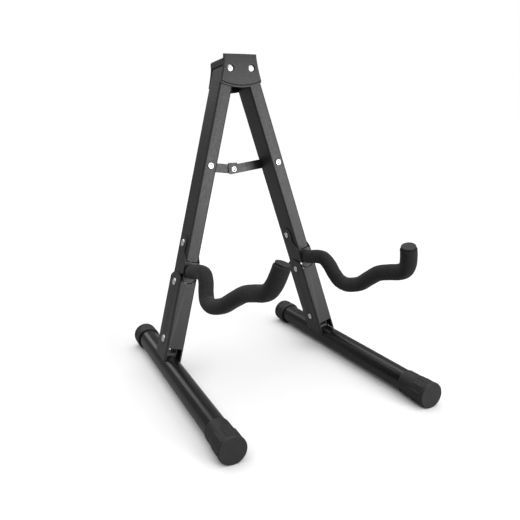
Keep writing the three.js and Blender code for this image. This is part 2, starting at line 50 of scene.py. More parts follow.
# Driving sizes, the CAD's own (mm).
LEAN = math.radians(6.8)
SPLAY = math.radians(15.8)
PIN_HALF_SPACING = 13.54
LEG_LENGTH = 359.75
FOOT_RIVET_AT = 30
KNEE_RIVET_AT = 100
UPPER_LEG_END_AT = 128.2
ARM_RIVET_AT = 148
SPREADER_RIVET_AT = 243.5
LEG_HALF_DEPTH = 17.2
UPPER_HALF_WIDTH = 8.1
BRACKET_INSIDE = 8.3
BRACKET_OUTSIDE = 9.3
LOWER_INSIDE = 9.5
LOWER_OUTSIDE = 10.7
LOWER_HALF_DEPTH = 17.3
WALL = 1.2
PIVOT_BORE_RADIUS = 4.1  # in the upper leg, around the head's bush
EAR_RADIUS = 13  # the upper leg's round end about the knee rivet
NECK_FRONT = -9.5  # the edge of the narrower part above that end
NOTCH_RADIUS = 9.3  # the scoop in the lower leg's front, under the arm
NOTCH_ABOVE_KNEE = 10.3
NOTCH_FLOOR_ABOVE_KNEE = 2.2
WEB_BOTTOM = 22  # the lower leg's front starts above the foot tube
CHEEK_RADIUS = 10
CHEEK_FRONT = 18.8
CHEEK_BOTTOM = -36.2  # from the arm rivet
DOME_RADIUS = 4.4
TAIL_RADIUS = 3.7
TUBE_RADIUS = 12.5
CAP_RADIUS = 15
AXIS_HEIGHT = 14.7
FOOT_FRONT = 209.3
FOOT_REAR = 107.5
FRONT_CAP_LENGTH = 40
REAR_CAP_LENGTH = 23
CAP_END_WALL = 3.5
ROD_RADIUS = 4.5
FOAM_RADIUS = 8.75
HOLE_RADIUS = 2.7
SHANK_RADIUS = 2.4
STRAP_HALF_WIDTH = 5.7
STRAP_OVERRUN = 6.7
STRAP_THICKNESS = 1.5
STRAP_DROP = 5.8
RIGHT_STRAP_FRONT = -17.6
LEFT_STRAP_FRONT = RIGHT_STRAP_FRONT - STRAP_THICKNESS - 0.2
PLATE_FRONT = 21
PLATE_STEP = 18.5
PLATE_BACK = 17.5
REAR_PLATE_BACK = -20
ROOF_TOP = 12
SKIRT_BOTTOM = 4
PLATE_BOTTOM = -19.9
LIP_BOTTOM = -22
REAR_APRON_BOTTOM = -24.6
APRON_TOP = 16.2
APRON_TOP_HALF = 21.2
APRON_WAIST = 21.4  # where the hollow side's control point lies, at APRON_WAIST_UP
APRON_WAIST_UP = 2
APRON_HALF = 26.6
APRON_BOW = 5.6  # how far the bottom edge hangs below its corners
SCREW_RECESS_RADIUS = 4.7
SCREW_HOLE_RADIUS = 2.8
BUSH_RADIUS = 3.8

# The arm's centre line, [forward of the leg, height along the leg].
ARM_ROUTE = [
    (11, 115.4), (30, 117.3), (50, 119.8), (62, 118.6), (70.5, 111), (75.5, 101),
    (83, 92.8), (96, 89.6), (112, 91.6), (129, 96.4), (149, 106), (168.7, 114.7),
    (188, 119), (205, 121.8), (216, 125.8), (223, 133), (227.5, 143), (230.5, 153),
]
FOAM_START = 0.042
FOAM_END = 0.992

# Derived places. The stand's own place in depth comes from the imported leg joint.
TUBE_DIP = math.atan(math.tan(LEAN) / math.cos(SPLAY))
TOE_OUT = math.asin(math.sin(SPLAY) * math.sin(TUBE_DIP))
FOOT_X = PIN_HALF_SPACING + LEG_LENGTH * math.sin(SPLAY)
PIN_HEIGHT = LEG_LENGTH * math.cos(SPLAY)
PIN_Y = next(j for j in frame["joints"] if j["name"] == "left_leg_fold")["pos_m"][1] / MM
FOOT_Y = PIN_Y - PIN_HEIGHT * math.sin(LEAN)
SPREADER_HALF_SPAN = FOOT_X - SPREADER_RIVET_AT * math.sin(SPLAY)
STRAP_LENGTH = math.hypot(SPREADER_HALF_SPAN, STRAP_DROP)
STRAP_ANGLE = math.atan2(STRAP_DROP, SPREADER_HALF_SPAN)
SIDES = {"left": -1, "right": 1}
BODY_OF = {n: body for body, nodes in frame["record"]["behaviour"]["bodies"].items() for n in nodes}


def placed(x, y, z):
    return Matrix.Translation((x * MM, y * MM, z * MM))


def turned(angle, axis):
    return Matrix.Rotation(angle, 4, axis)


def leg_frame(side):
    return placed(side * FOOT_X, FOOT_Y, AXIS_HEIGHT) @ turned(-LEAN, "X") @ turned(-side * SPLAY, "Y")


def foot_frame(side):
    return placed(side * FOOT_X, FOOT_Y, AXIS_HEIGHT) @ turned(side * TOE_OUT, "Z")


HEAD_FRAME = placed(0, PIN_Y, AXIS_HEIGHT + PIN_HEIGHT * math.cos(LEAN)) @ turned(-LEAN, "X")
STRAP_FRAME = HEAD_FRAME @ placed(0, 0, -(LEG_LENGTH - SPREADER_RIVET_AT) * math.cos(SPLAY))


# ---- mesh tools --------------------------------------------------------------------------------

def across(a, b, c):
    """A side sheet: its outline is (forward, up), and it is pushed along X."""
    return c, -a, b


def forward(a, b, c):
    """A sheet facing forward: its outline is (x, up), and it is pushed forward."""
    return a, -c, b


def upright(a, b, c):
    """A section: its outline is (x, forward), and it is pushed up."""
    return a, -b, c


def arc(cx, cy, radius, start, end, steps=24):
    """Points on a round stretch, its angles in degrees."""
    angles = [math.radians(start + (end - start) * i / steps) for i in range(steps + 1)]
    return [(cx + radius * math.cos(a), cy + radius * math.sin(a)) for a in angles]


def softened(points, radius, steps=6, closed=True):
    """The same outline with its corners rounded off, each by at most 0.45 of its shorter side."""
    out = []
    count = len(points)
    for i, point in enumerate(points):
        if not closed and i in (0, count - 1):
            out.append(point)
            continue
        here = Vector(point)
        before = Vector(points[i - 1]) - here
        after = Vector(points[(i + 1) % count]) - here
        cut = min(radius, 0.45 * before.length, 0.45 * after.length)
        if cut < 1e-4:
            out.append(point)
            continue
        start = here + before.normalized() * cut
        end = here + after.normalized() * cut
        for k in range(steps + 1):
            t = k / steps
            out.append(tuple(start.lerp(here, t).lerp(here.lerp(end, t), t)))
    return out


def piece_from(name, bm):
    bmesh.ops.recalc_face_normals(bm, faces=bm.faces)
    mesh = bpy.data.meshes.new(name)
    bm.to_mesh(mesh)
    bm.free()
    piece = bpy.data.objects.new(name, mesh)
    bpy.context.scene.collection.objects.link(piece)
    return piece


def prism(name, outline, way, low, high):
    """A closed solid with flat ends."""
    bm = bmesh.new()
    ends = []
    for c in (low, high):
        ends.append([bm.verts.new([v * MM for v in way(a, b, c)]) for a, b in outline])
    for end in ends:
        bm.faces.new(end)
    count = len(outline)
    for i in range(count):
        j = (i + 1) % count
        bm.faces.new((ends[0][i], ends[0][j], ends[1][j], ends[1][i]))
    return piece_from(name, bm)


def skin(name, rings, loop=False):
    """One closed surface through rings of points (mm): a loop joins its last ring to its first."""
    bm = bmesh.new()
    rows = [[bm.verts.new([v * MM for v in p]) for p in ring] for ring in rings]
    pairs = list(zip(rows, rows[1:]))
    if loop:
        pairs.append((rows[-1], rows[0]))
    for low, high in pairs:
        count = len(low)
        for i in range(count):
            j = (i + 1) % count
            bm.faces.new((low[i], low[j], high[j], high[i]))
    if not loop:
        bm.faces.new(rows[0])
        bm.faces.new(rows[-1])
    bmesh.ops.remove_doubles(bm, verts=bm.verts, dist=1e-7)
    bmesh.ops.dissolve_degenerate(bm, edges=bm.edges, dist=1e-8)
    return piece_from(name, bm)


def lathe(name, profile, axis, sides=64, shape=None):
    """A solid of revolution from (radius, along) pairs. shape(radius, along, angle) may change a radius."""
    rings = []
    for radius, along in profile:
        ring = []
        for i in range(sides):
            angle = 2 * math.pi * i / sides
            r = shape(radius, along, angle) if shape else radius
            u, v = r * math.cos(angle), r * math.sin(angle)
            ring.append((along, u, v) if axis == "x" else (u, along, v))
        rings.append(ring)
    on_axis = profile[0][0] < 1e-6 and profile[-1][0] < 1e-6
    return skin(name, rings, loop=not on_axis)


def cylinder(radius, low, high, axis, sides=64):
    return lathe("cutter", [(0, low), (radius, low), (radius, high), (0, high)], axis, sides)


def moved(piece, matrix):
    piece.data.transform(matrix)
    return piece


def settle(piece):
    """Turns the modifiers on a piece into its mesh."""
    graph = bpy.context.evaluated_depsgraph_get()
    mesh = bpy.data.meshes.new_from_object(piece.evaluated_get(graph))
    piece.modifiers.clear()
    old = piece.data
    piece.data = mesh
    bpy.data.meshes.remove(old)
    return piece


def combined(piece, others, operation):
    for other in others:
        step = piece.modifiers.new(operation, "BOOLEAN")
        step.operation = operation
        step.solver = "EXACT"
        step.object = other
    settle(piece)
    for other in others:
        bpy.data.objects.remove(other)
    return piece


def cut(piece, *cutters):
    return combined(piece, cutters, "DIFFERENCE")


def kept(piece, *shapes):
    return combined(piece, shapes, "INTERSECT")


def joined(piece, *others):
    return combined(piece, others, "UNION")


def eased(piece, width=0.3, angle=38, segments=2):
    """Takes the sharpness off every edge of a pressed or moulded piece."""
    bevel = piece.modifiers.new("eased", "BEVEL")
    bevel.width = width * MM
    bevel.segments = segments
    bevel.limit_method = "ANGLE"
    bevel.angle_limit = math.radians(angle)
    bevel.miter_outer = "MITER_ARC"
    even = piece.modifiers.new("even", "WEIGHTED_NORMAL")
    even.keep_sharp = True
    shade(piece, 55)
    settle(piece)
    return piece


def shade(piece, crease=35):
    """Smooth shading, with a crease where two faces meet at more than that angle."""
    bm = bmesh.new()
    bm.from_mesh(piece.data)
    for face in bm.faces:
        face.smooth = True
    for edge in bm.edges:
        edge.smooth = len(edge.link_faces) == 2 and edge.calc_face_angle(0) < math.radians(crease)
    bm.to_mesh(piece.data)
    bm.free()
    return piece


# ---- materials ---------------------------------------------------------------------------------

class Paint:
    """A node material around one Principled shader, in a piece's own coordinates."""

    def __init__(self, name, roughness, **constants):
        self.material = bpy.data.materials.new(name)
        self.material.use_nodes = True
        self.tree = self.material.node_tree
        self.shader = self.tree.nodes["Principled BSDF"]
        self.shader.inputs["Roughness"].default_value = roughness
        for socket, value in constants.items():
            self.shader.inputs[socket.replace("_", " ")].default_value = value
        self.place = self.add("ShaderNodeTexCoord").outputs["Object"]
        self.height = None

    def add(self, kind, **settings):
        node = self.tree.nodes.new(kind)
        for key, value in settings.items():
            setattr(node, key, value)
        return node

    def link(self, output, target):
        self.tree.links.new(output, target)

    def grain(self, size, detail=3, stretch=None):
        """Noise whose blotches are about `size` mm across."""
        node = self.add("ShaderNodeTexNoise")
        node.inputs["Scale"].default_value = 1 / (size * MM)
        node.inputs["Detail"].default_value = detail
        source = self.place
        if stretch:
            mapping = self.add("ShaderNodeMapping")
            mapping.inputs["Scale"].default_value = stretch
            self.link(self.place, mapping.inputs["Vector"])
            source = mapping.outputs["Vector"]
        self.link(source, node.inputs["Vector"])
        return node.outputs["Fac"]

    def cells(self, size):
        """Round cells about `size` mm across."""
        node = self.add("ShaderNodeTexVoronoi")
        node.inputs["Scale"].default_value = 1 / (size * MM)
        self.link(self.place, node.inputs["Vector"])
        return node.outputs["Distance"]

    def ranged(self, value, low, high, start=0.3, end=0.7):
        node = self.add("ShaderNodeMapRange")
        node.inputs["From Min"].default_value = start
        node.inputs["From Max"].default_value = end
        node.inputs["To Min"].default_value = low
        node.inputs["To Max"].default_value = high
        self.link(value, node.inputs["Value"])
        return node.outputs["Result"]

    def colour(self, value, dark, light, start=0.3, end=0.7):
        node = self.add("ShaderNodeValToRGB")
        stops = node.color_ramp.elements
        stops[0].position, stops[1].position = start, end
        stops[0].color = (*dark, 1)
        stops[1].color = (*light, 1)
        self.link(value, node.inputs["Fac"])
        return node.outputs["Color"]

    def edge_highlight(self, colour, edge, start=0.52, end=0.6):
        """Painted highlight: lets a lighter colour through where the surface turns a sharp outer edge, as if
        that edge caught the light.
        """
        shape = self.add("ShaderNodeNewGeometry").outputs["Pointiness"]
        mix = self.add("ShaderNodeMix", data_type="RGBA")
        self.link(self.ranged(shape, 0, 1, start, end), mix.inputs["Factor"])
        self.link(colour, mix.inputs["A"])
        mix.inputs["B"].default_value = (*edge, 1)
        return mix.outputs["Result"]

    def bump(self, value, depth, strength=1.0):
        """Relief `depth` mm deep; each call lies on the one before."""
        node = self.add("ShaderNodeBump")
        node.inputs["Strength"].default_value = strength
        node.inputs["Distance"].default_value = depth * MM
        self.link(value, node.inputs["Height"])
        if self.height:
            self.link(self.height, node.inputs["Normal"])
        self.height = node.outputs["Normal"]
        self.link(self.height, self.shader.inputs["Normal"])

    def set(self, socket, output):
        self.link(output, self.shader.inputs[socket])


def grey(level):
    return (level, level, level * 1.02)


def powder_coat(name, dark, light, rough_low, rough_high):
    """Satin black powder coat: a fine orange peel, small specks, and a painted highlight along sharp outer
    edges.
    """
    paint = Paint(name, 0.5, IOR=1.48)
    base = paint.colour(paint.grain(9, 4), grey(dark), grey(light))
    # painted highlight: the colour turns lighter (light * 2.2) along sharp outer edges
    paint.set("Base Color", paint.edge_highlight(base, grey(light * 2.2)))
    paint.set("Roughness", paint.ranged(paint.grain(2.4, 4), rough_low, rough_high))
    paint.bump(paint.grain(1.1, 2), 0.035)
    paint.bump(paint.grain(0.28, 1), 0.012)
    return paint.material


def gloss_paint():
    """The foot tubes' smoother paint, drawn along the tube, with light scuffs."""
    paint = Paint("gloss_black_tube", 0.3, IOR=1.45)
    base = paint.colour(paint.grain(14, 4, (1, 0.25, 1)), grey(0.007), grey(0.012))
    scuffs = paint.grain(1.6, 5, (1, 0.12, 1))
    paint.set("Base Color", base)
    paint.set("Roughness", paint.ranged(scuffs, 0.17, 0.27))
    paint.bump(paint.grain(1.8, 2), 0.02)
    return paint.material


def moulded(name, dark, light, rough_low, rough_high, texture, depth):
    """Moulded plastic or rubber with a spark-eroded grain and a painted highlight along sharp outer edges."""
    paint = Paint(name, 0.6, IOR=1.47)
    base = paint.colour(paint.grain(6, 4), grey(dark), grey(light))
    # painted highlight: the colour turns lighter (light * 1.8) along sharp outer edges
    paint.set("Base Color", paint.edge_highlight(base, grey(light * 1.8)))
    paint.set("Roughness", paint.ranged(paint.grain(1.3, 4), rough_low, rough_high))
    paint.bump(paint.cells(texture), depth)
    paint.bump(paint.grain(texture * 0.6, 2), depth * 0.6)
    return paint.material


def foam():
    """Closed-cell sleeve: matte, finely pored, with a faint soft sheen."""
    paint = Paint("arm_foam", 0.9, IOR=1.4, Sheen_Weight=0.08, Sheen_Roughness=0.5)
    pores = paint.cells(0.55)
    base = paint.colour(pores, grey(0.006), grey(0.013), 0.05, 0.5)
    patches = paint.add("ShaderNodeMix", data_type="RGBA", blend_type="MULTIPLY")
    patches.inputs["Factor"].default_value = 1
    paint.link(base, patches.inputs["A"])
    paint.link(paint.colour(paint.grain(5, 4), grey(0.75), grey(1.0)), patches.inputs["B"])
    paint.set("Base Color", patches.outputs["Result"])
    paint.set("Roughness", paint.ranged(paint.grain(3, 3), 0.78, 0.95))
    paint.bump(paint.grain(2.6, 3), 0.05)
    paint.bump(pores, 0.045)
    return paint.material


def bright_metal(name, rough_low, rough_high, blue):
    """Zinc plate: bright, slightly clouded, with fine turning marks."""
    paint = Paint(name, 0.25, Metallic=1.0)
    dark = (0.74, 0.74, 0.74 + blue)
    light = (0.93, 0.93, 0.93 + blue)
    cloud = paint.grain(1.2, 4)
    paint.set("Base Color", paint.colour(cloud, dark, light, 0.2, 0.65))
    paint.set("Roughness", paint.ranged(paint.grain(0.5, 3), rough_low, rough_high))
    paint.bump(paint.grain(0.35, 2), 0.01)
    return paint.material


FINISH = {
    "black_leg": powder_coat("black_leg", 0.011, 0.016, 0.42, 0.52),
    "black_strap": powder_coat("black_strap", 0.013, 0.019, 0.38, 0.5),
    "gloss_black_tube": gloss_paint(),
    "head_plastic": moulded("head_plastic", 0.014, 0.02, 0.46, 0.56, 0.5, 0.02),
    "foot_cap": moulded("foot_cap", 0.012, 0.018, 0.46, 0.6, 0.45, 0.025),
    "end_plug": moulded("end_plug", 0.012, 0.018, 0.5, 0.6, 0.4, 0.02),
    "arm_foam": foam(),
    "rivet_steel": bright_metal("rivet_steel", 0.28, 0.42, 0.01),
    "zinc_hardware": bright_metal("zinc_hardware", 0.26, 0.4, 0.03),
}


def stand_in(piece, node, slot, place):
    """The piece takes a CAD node's place: its finish, its body, and where it stands."""
    piece.matrix_world = place
    piece.data.materials.clear()
    piece.data.materials.append(FINISH[slot])
    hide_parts(node)
    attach(piece, BODY_OF[node])
    return piece


# ---- legs, drawn in a leg's own frame (Z up the leg, -Y forward) ---------------------------------

# The arm bracket's web, (forward, up) from the arm rivet.
WEB_OUTLINE = [
    (11, -24.4), (11.4, -25.6), (CHEEK_FRONT, -28.4), (CHEEK_FRONT, -20.6), (17.6, -20.6), (17.6, -26.8),
]


def cross_hole(at, radius=HOLE_RADIUS):
    return moved(cylinder(radius, -20, 20, "x", 48), placed(0, 0, at))


def rounded_box_outline(half_x, half_y, radius, steps=8):
    corners = [(half_x, half_y, 0), (-half_x, half_y, 90), (-half_x, -half_y, 180), (half_x, -half_y, 270)]
    outline = []
    for x, y, start in corners:
        cx = x - math.copysign(radius, x)
        cy = y - math.copysign(radius, y)
        outline += arc(cx, cy, radius, start, start + 90, steps)
    return outline


def upper_leg(name):
    """Rectangular tube with rolled corners, round about the head pin, and a neck and ear at the knee."""
    low, high = KNEE_RIVET_AT - 14, LEG_LENGTH + UPPER_HALF_WIDTH + 1
    outer = rounded_box_outline(UPPER_HALF_WIDTH, LEG_HALF_DEPTH, 2.2)
    inner = rounded_box_outline(UPPER_HALF_WIDTH - WALL, LEG_HALF_DEPTH - WALL, 1.0)
    rings = [[upright(a, b, c) for a, b in ring] for ring, c in
             ((outer, low), (outer, high), (inner, high), (inner, low))]
    tube = skin(name, rings, loop=True)
    meet = math.degrees(math.acos(NECK_FRONT / EAR_RADIUS))
    side = [(-20, high + 5), (20, high + 5), (20, UPPER_LEG_END_AT), (NECK_FRONT + 3, UPPER_LEG_END_AT)]
    side += arc(NECK_FRONT + 3, UPPER_LEG_END_AT - 3, 3, 90, 180, 6)[1:]
    side += arc(0, KNEE_RIVET_AT, EAR_RADIUS, meet, -180, 60)
    side += [(-20, KNEE_RIVET_AT)]
    front = [(-12, low - 5), (12, low - 5), (12, LEG_LENGTH)]
    front += arc(0, LEG_LENGTH, UPPER_HALF_WIDTH, 0, 180, 32) + [(-12, LEG_LENGTH)]
    kept(tube, prism("side", side, across, -20, 20))
    kept(tube, prism("front", front, forward, -25, 25))
    through = moved(cylinder(HOLE_RADIUS, -30, 30, "y", 48), placed(0, 0, SPREADER_RIVET_AT))
    pivot = moved(cylinder(PIVOT_BORE_RADIUS, -30, 30, "y", 48), placed(0, 0, LEG_LENGTH))
    cut(tube, cross_hole(KNEE_RIVET_AT), cross_hole(ARM_RIVET_AT), through, pivot)
    return eased(tube, 0.25)


def channel_outline(outside, inside, front, wall, back, bend):
    """A sheet bent into a U that opens backwards, in (x, forward)."""
    near = bend - wall
    outer = [(-outside, back)] + arc(-outside + bend, front - bend, bend, 180, 90, 8)
    outer += arc(outside - bend, front - bend, bend, 90, 0, 8) + [(outside, back)]
    inner = [(inside, back)] + arc(inside - near, front - wall - near, near, 0, 90, 8)
    inner += arc(-inside + near, front - wall - near, near, 90, 180, 8) + [(-inside, back)]
    return outer + inner


def tube_cutter():
    return moved(cylinder(TUBE_RADIUS + 0.25, -70, 70, "y", 128), turned(TUBE_DIP, "X"))


def lower_leg(name):
    """Channel around the upper leg's ear, coped over the foot tube and notched for the arm."""
    depth = LOWER_HALF_DEPTH
    ear, rise = KNEE_RIVET_AT + 6, 6.8
    arch = (depth * depth + rise * rise) / (2 * rise)
    reach = math.degrees(math.asin(depth / arch))
    section = channel_outline(LOWER_OUTSIDE, LOWER_INSIDE, depth, WALL, -depth, 2.2)
    channel = prism(name, section, upright, 0, ear + rise + 3)
    side = [(-depth - 2, -2), (depth + 2, -2), (depth + 2, ear - 0.6)]
    side += arc(0, ear + rise - arch, arch, 90 - reach, 90 + reach, 40) + [(-depth - 2, ear - 0.6)]
    kept(channel, prism("side", side, across, -20, 20))
    sill = softened([(-8.6, -5), (8.6, -5), (8.6, WEB_BOTTOM), (-8.6, WEB_BOTTOM)], 1.2)
    low, high = KNEE_RIVET_AT + NOTCH_FLOOR_ABOVE_KNEE, ear + rise + 5
    scoop = arc(0, KNEE_RIVET_AT + NOTCH_ABOVE_KNEE, NOTCH_RADIUS, 0, 354, 59)
    slits = []  # where the arm bracket's cheeks pass as the leg folds
    for way in SIDES.values():
        near, far = way * (BRACKET_INSIDE - 0.3), way * LOWER_INSIDE
        slit = [(near, low), (far, low), (far, high), (near, high)]
        slits.append(prism("slit", slit, forward, depth - 2, depth + 3))
    cut(
        channel,
        prism("sill", sill, forward, depth - 4, depth + 4),
        prism("notch", scoop, forward, depth - 3.5, depth + 3),
        *slits,
        cross_hole(KNEE_RIVET_AT),
        cross_hole(FOOT_RIVET_AT),
        tube_cutter(),
    )
    return eased(channel, 0.25)


def arm_bracket(name):
    """Two cheeks on the arm's rivet, joined by a web whose tongue the rod comes through."""
    cheek = arc(0, 0, CHEEK_RADIUS, 0, 180, 40) + softened([
        (-CHEEK_RADIUS, CHEEK_BOTTOM), (16.2, CHEEK_BOTTOM), (CHEEK_FRONT, -33.6), (CHEEK_FRONT, -20),
        (CHEEK_RADIUS, -CHEEK_RADIUS),
    ], 1.6)
    bracket = prism(name, cheek, across, BRACKET_INSIDE, BRACKET_OUTSIDE)
    other = prism("cheek", cheek, across, -BRACKET_OUTSIDE, -BRACKET_INSIDE)
    web = prism("web", WEB_OUTLINE, across, -8.8, 8.8)
    tongue = prism("tongue", [(8, -27), (-8, -27)] + arc(0, -38, 8, 180, 360, 40), forward, 16.2, 17.2)
    joined(bracket, other, web, tongue)
    slope = math.atan2(ARM_ROUTE[1][1] - ARM_ROUTE[0][1], ARM_ROUTE[1][0] - ARM_ROUTE[0][0])
    eye = moved(cylinder(ROD_RADIUS + 0.2, -14, 14, "y", 48), turned(-slope, "X"))
    moved(eye, placed(0, -16.7, ARM_ROUTE[0][1] + 0.6 - ARM_RIVET_AT))
    cut(bracket, cylinder(HOLE_RADIUS, -20, 20, "x", 48), eye)
    moved(bracket, placed(0, 0, ARM_RIVET_AT))
    return eased(bracket, 0.2)


def foot_saddle(name):
    """The bent clip inside the channel that ties the tube to the foot rivet."""
    clip = prism(name, saddle_outline(), forward, -9, 9)
    cut(clip, cross_hole(FOOT_RIVET_AT), tube_cutter())
    return eased(clip, 0.25)


def saddle_outline():
    """A U that stands on the tube, in (x, up)."""
    outer = [(-6, 38)] + arc(-6 + 2, 10 + 2, 2, 180, 270, 6) + arc(6 - 2, 10 + 2, 2, 270, 360, 6) + [(6, 38)]
    inner = [(4.4, 38), (4.4, 15), (-4.4, 15), (-4.4, 38)]
    return outer + inner


# ---- arms ----------------------------------------------------------------------------------------

def spline(points, steps):
    """A centripetal Catmull-Rom curve through 2-D points, with evenly spaced output."""
    pts = [Vector(p) for p in points]
    pts = [2 * pts[0] - pts[1]] + pts + [2 * pts[-1] - pts[-2]]
    fine = []
    for p0, p1, p2, p3 in zip(pts, pts[1:], pts[2:], pts[3:]):
        t0 = 0
        t1 = t0 + (p1 - p0).length ** 0.5
        t2 = t1 + (p2 - p1).length ** 0.5
        t3 = t2 + (p3 - p2).length ** 0.5
        for k in range(24):
            t = t1 + (t2 - t1) * k / 24
            a1 = p0 * ((t1 - t) / (t1 - t0)) + p1 * ((t - t0) / (t1 - t0))
            a2 = p1 * ((t2 - t) / (t2 - t1)) + p2 * ((t - t1) / (t2 - t1))
            a3 = p2 * ((t3 - t) / (t3 - t2)) + p3 * ((t - t2) / (t3 - t2))
            b1 = a1 * ((t2 - t) / (t2 - t0)) + a2 * ((t - t0) / (t2 - t0))
            b2 = a2 * ((t3 - t) / (t3 - t1)) + a3 * ((t - t1) / (t3 - t1))
            fine.append(b1 * ((t2 - t) / (t2 - t1)) + b2 * ((t - t1) / (t2 - t1)))
    fine.append(pts[-2])
    lengths = [0]
    for a, b in zip(fine, fine[1:]):
        lengths.append(lengths[-1] + (b - a).length)
    even = []
    k = 0
    for i in range(steps + 1):
        want = lengths[-1] * i / steps
        while k < len(lengths) - 2 and lengths[k + 1] < want:
            k += 1
        share = (want - lengths[k]) / (lengths[k + 1] - lengths[k])
        even.append(fine[k].lerp(fine[k + 1], share))
    return even, lengths[-1]


ROUTE_STEPS = 520
ROUTE, ROUTE_LENGTH = spline(ARM_ROUTE, ROUTE_STEPS)


def route_at(share):
    """Place, heading and bend (1/mm, positive where the arm curves upwards) at a share of the route."""
    i = min(max(share * ROUTE_STEPS, 0), ROUTE_STEPS - 1e-6)
    low = int(i)
    place = ROUTE[low].lerp(ROUTE[low + 1], i - low)
    a, b = max(low - 3, 0), min(low + 4, ROUTE_STEPS)
    heading = (ROUTE[b] - ROUTE[a]).normalized()
    mid = (a + b) // 2
    before, after = (ROUTE[mid] - ROUTE[a]), (ROUTE[b] - ROUTE[mid])
    bend = before.angle_signed(after, 0) / (0.5 * (before.length + after.length))
    return place, heading, -bend


def ring_on(share, radius, sides, shape=None):
    place, heading, bend = route_at(share)
    lift = Vector((-heading.y, heading.x))
    ring = []
    for i in range(sides):
        angle = 2 * math.pi * i / sides
        r = radius if shape is None else shape(radius, share, angle, bend)
        up = r * math.sin(angle)
        side = r * math.cos(angle)
        point = place + lift * up
        ring.append(across(point.x, point.y, side))
    return ring


def foam_shape(radius, share, angle, bend):
    """The sleeve crowds into a few wrinkles inside its tightest bend; elsewhere it is softly uneven."""
    along = share * ROUTE_LENGTH
    inside = math.sin(angle) * (1 if bend > 0 else -1)
    tight = min(max(abs(bend) * 34 - 0.75, 0), 1.0)
    crowd = max(inside, 0) ** 2 * tight
    wave = 0.5 + 0.5 * math.sin(along * 2 * math.pi / 4.6 + 0.8 * math.sin(angle * 2))
    spot = Vector((math.cos(angle), math.sin(angle), along * 0.06))
    loose = noise.noise(spot) * 0.16
    return radius - 0.16 - 0.75 * crowd * wave ** 3 + loose


def arm_foam(name):
    """A sleeve with rolled ends and a core that follows the rod."""
    sides, roll = 72, 1.5
    total = (FOAM_END - FOAM_START) * ROUTE_LENGTH
    bore, mouth = ROD_RADIUS + 0.15, 6.4
    rings = []

    def ring(along, radius, shape=None):
        rings.append(ring_on(FOAM_START + along / ROUTE_LENGTH, radius, sides, shape))

    turns = [math.pi / 2 * k / 6 for k in range(7)]
    ring(0, bore + 0.3)
    for a in turns:
        ring(roll * (1 - math.cos(a)), FOAM_RADIUS - roll + roll * math.sin(a), foam_shape)
    count = 300
    for k in range(1, count):
        ring(roll + (total - 2 * roll) * k / count, FOAM_RADIUS, foam_shape)
    for a in turns:
        ring(total - roll + roll * math.sin(a), FOAM_RADIUS - roll + roll * math.cos(a), foam_shape)
    ring(total - 0.1, mouth + 0.3)
    ring(total - 0.6, mouth)
    ring(total - 3, mouth)
    core = 110
    for k in range(core + 1):
        ring(0.3 + (total - 3.5) * (1 - k / core), bore)
    return shade(skin(name, rings, loop=True), 60)


def arm_rod(name):
    rings = []
    end = 0.985
    for share, radius in ((0.0, ROD_RADIUS - 0.6), (0.6 / ROUTE_LENGTH, ROD_RADIUS)):
        rings.append(ring_on(share, radius, 40))
    count = 90
    for k in range(1, count):
        rings.append(ring_on(0.6 / ROUTE_LENGTH + (end - 1.2 / ROUTE_LENGTH) * k / count, ROD_RADIUS, 40))
    rings.append(ring_on(end, ROD_RADIUS - 0.6, 40))
    return shade(skin(name, rings), 40)


def arm_end_plug(name):
    """A dished disc with a soft rim over a short spigot, closing the sleeve's raised end."""
    disc = [(0, 0.3), (5.4, 0.34), (6.3, 0.56), (6.9, 0.56), (7.4, 0.2), (7.55, -0.3), (7.3, -0.85)]
    disc.append((6.3, -0.9))
    spigot = [(6.3, -4.2), (0, -4.2)]
    plug = lathe(name, softened(disc, 0.35, 4, closed=False) + spigot, "y", 64)
    place, heading, _ = route_at(1)
    turn = turned(math.atan2(heading.y, -heading.x), "X")
    moved(plug, placed(*across(place.x, place.y, 0)) @ turn)
    return shade(plug, 40)


# ---- rivets --------------------------------------------------------------------------------------

def rolled_tail(seat, sign, radius=TAIL_RADIUS):
    """The rolled end of a tubular rivet, from its rim inwards: (radius, along) pairs."""
    points = [(radius, 0), (radius, 0.55)] + arc(radius - 0.75, 0.6, 0.75, 0, 180, 10)[1:]
    points += [(radius - 1.7, 0.1), (1.35, -1.6), (0, -1.6)]
    return [(r, seat + sign * a) for r, a in points]


def cross_rivet(name, half_grip):
    """Low domed head at +X and a rolled tubular tail at -X."""
    seat = half_grip + 0.15
    dome, height = DOME_RADIUS, 1.85
    profile = [(0, seat + height)]
    for k in range(1, 14):
        a = math.pi / 2 * k / 13
        profile.append((dome * math.sin(a), seat + 0.25 + (height - 0.25) * math.cos(a)))
    profile += [(dome, seat), (SHANK_RADIUS, seat), (SHANK_RADIUS, -seat)]
    profile += rolled_tail(-seat, -1)
    return shade(lathe(name, profile, "x", 56), 40)


def spreader_rivet(name, strap_front):
    """Rolled end in front of the leg, low head behind the strap."""
    front = LEG_HALF_DEPTH + 0.15
    back = strap_front - STRAP_THICKNESS - 0.15
    profile = [(0, back - 1.5), (2.2, back - 1.42), (3.2, back - 1.0), (3.7, back - 0.35), (3.7, back)]
    profile = softened(profile, 0.4, 4, closed=False)
    profile += [(SHANK_RADIUS, back), (SHANK_RADIUS, front)] + rolled_tail(front, 1)
    rivet = lathe(name, profile, "y", 56)
    moved(rivet, placed(0, 0, SPREADER_RIVET_AT) @ turned(math.pi, "X"))
    return shade(rivet, 40)


def spreader_spacer(name):
    outer, inner = 5, HOLE_RADIUS
    low, high = LEG_HALF_DEPTH + 0.2, -LEFT_STRAP_FRONT - 0.2
    ring = [(inner, low), (outer, low), (outer, high), (inner, high)]
    washer = lathe(name, softened(ring, 0.2, 3), "y", 56)
    moved(washer, placed(0, 0, SPREADER_RIVET_AT))
    return shade(washer, 40)


# ---- feet, drawn with the tube along Y and its front at -Y ---------------------------------------

